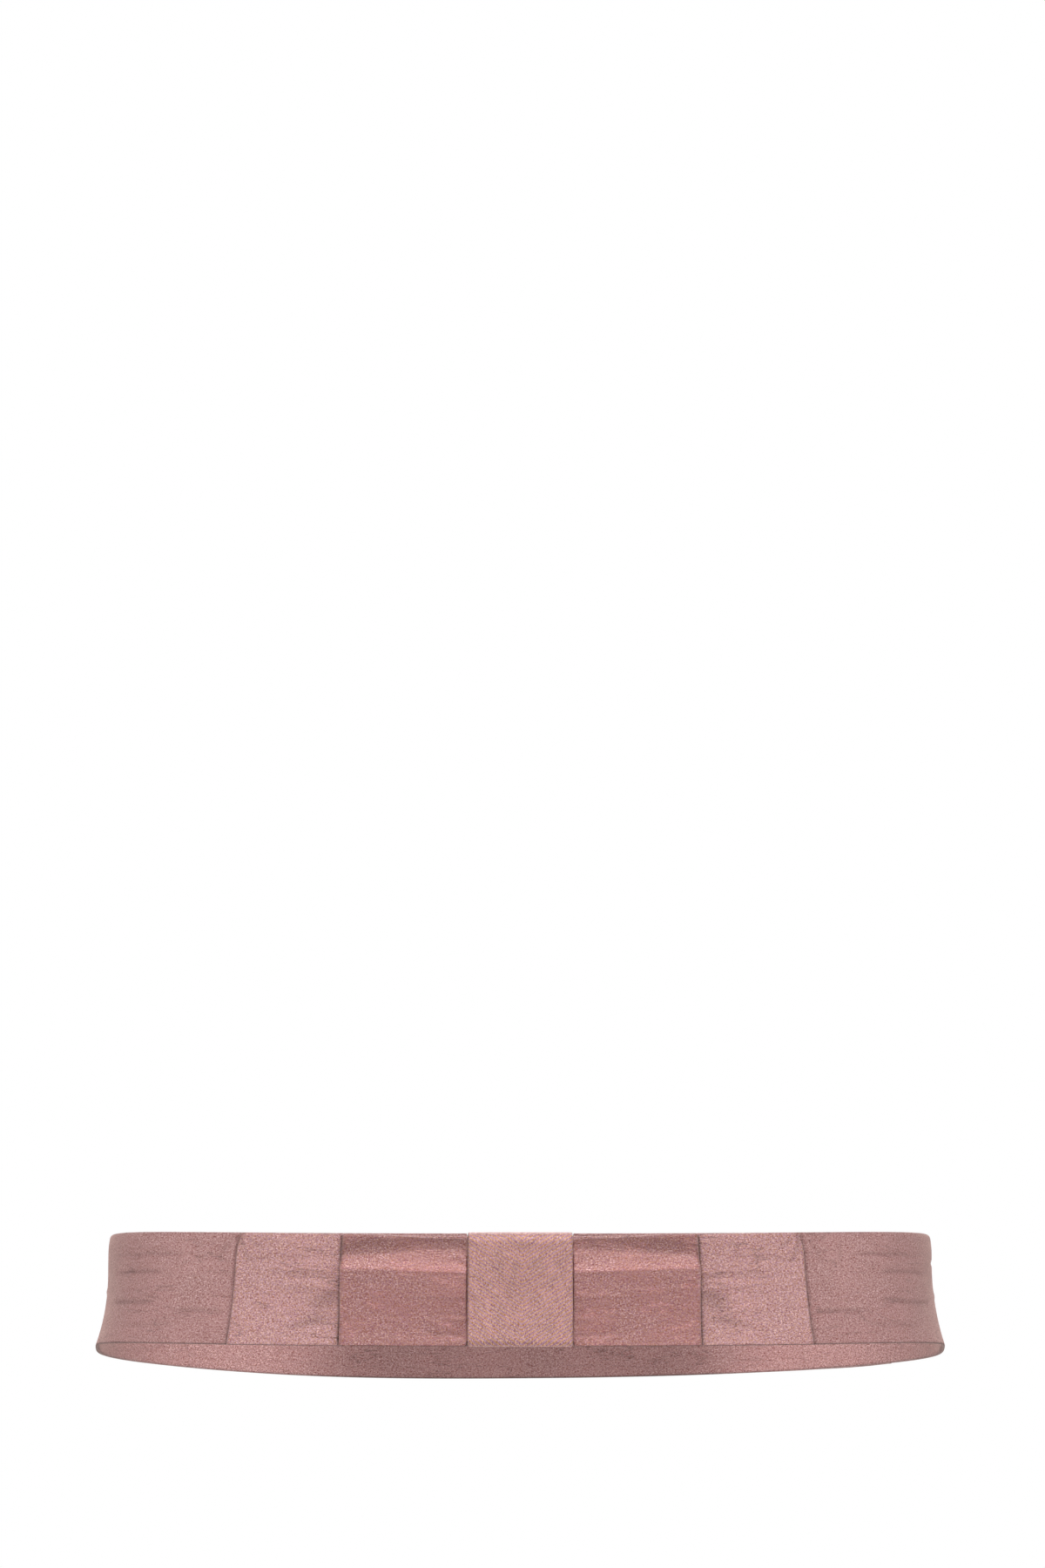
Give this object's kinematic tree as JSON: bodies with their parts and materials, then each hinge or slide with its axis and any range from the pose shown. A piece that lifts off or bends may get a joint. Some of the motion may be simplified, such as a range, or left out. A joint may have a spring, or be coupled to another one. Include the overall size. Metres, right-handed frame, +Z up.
{
  "type": "crepe belt with flat double bow",
  "caption": "Narrow crepe waist belt, closed as worn, with a flat double bow held by a knot strap at the front and a snapped lap behind.",
  "frame": {"origin": "on the wearer's axis, in the middle of the waist, level with the middle of the band at the two sides", "axes": "+Z up, the bow at the front faces -Y, and +X is the wearer's left"},
  "size_m": [0.295, 0.2111, 0.0432],
  "materials": {
    "band_crepe": "dusty pink crepe-back satin, soft sheen, pebbled",
    "bow_crepe": "dusty pink crepe-back satin, soft sheen, pebbled",
    "knot_crepe": "dusty pink crepe-back satin, soft sheen, pebbled, faintly ribbed",
    "stud_metal": "nickelled, satin"
  },
  "bodies": {
    "root": {"band": "band_crepe", "outer_bow": "bow_crepe", "inner_bow": "bow_crepe", "knot": "knot_crepe", "stud_ball_lower": "stud_metal", "stud_ball_upper": "stud_metal", "stud_socket_lower": "stud_metal", "stud_socket_upper": "stud_metal"}
  },
  "joints": []
}
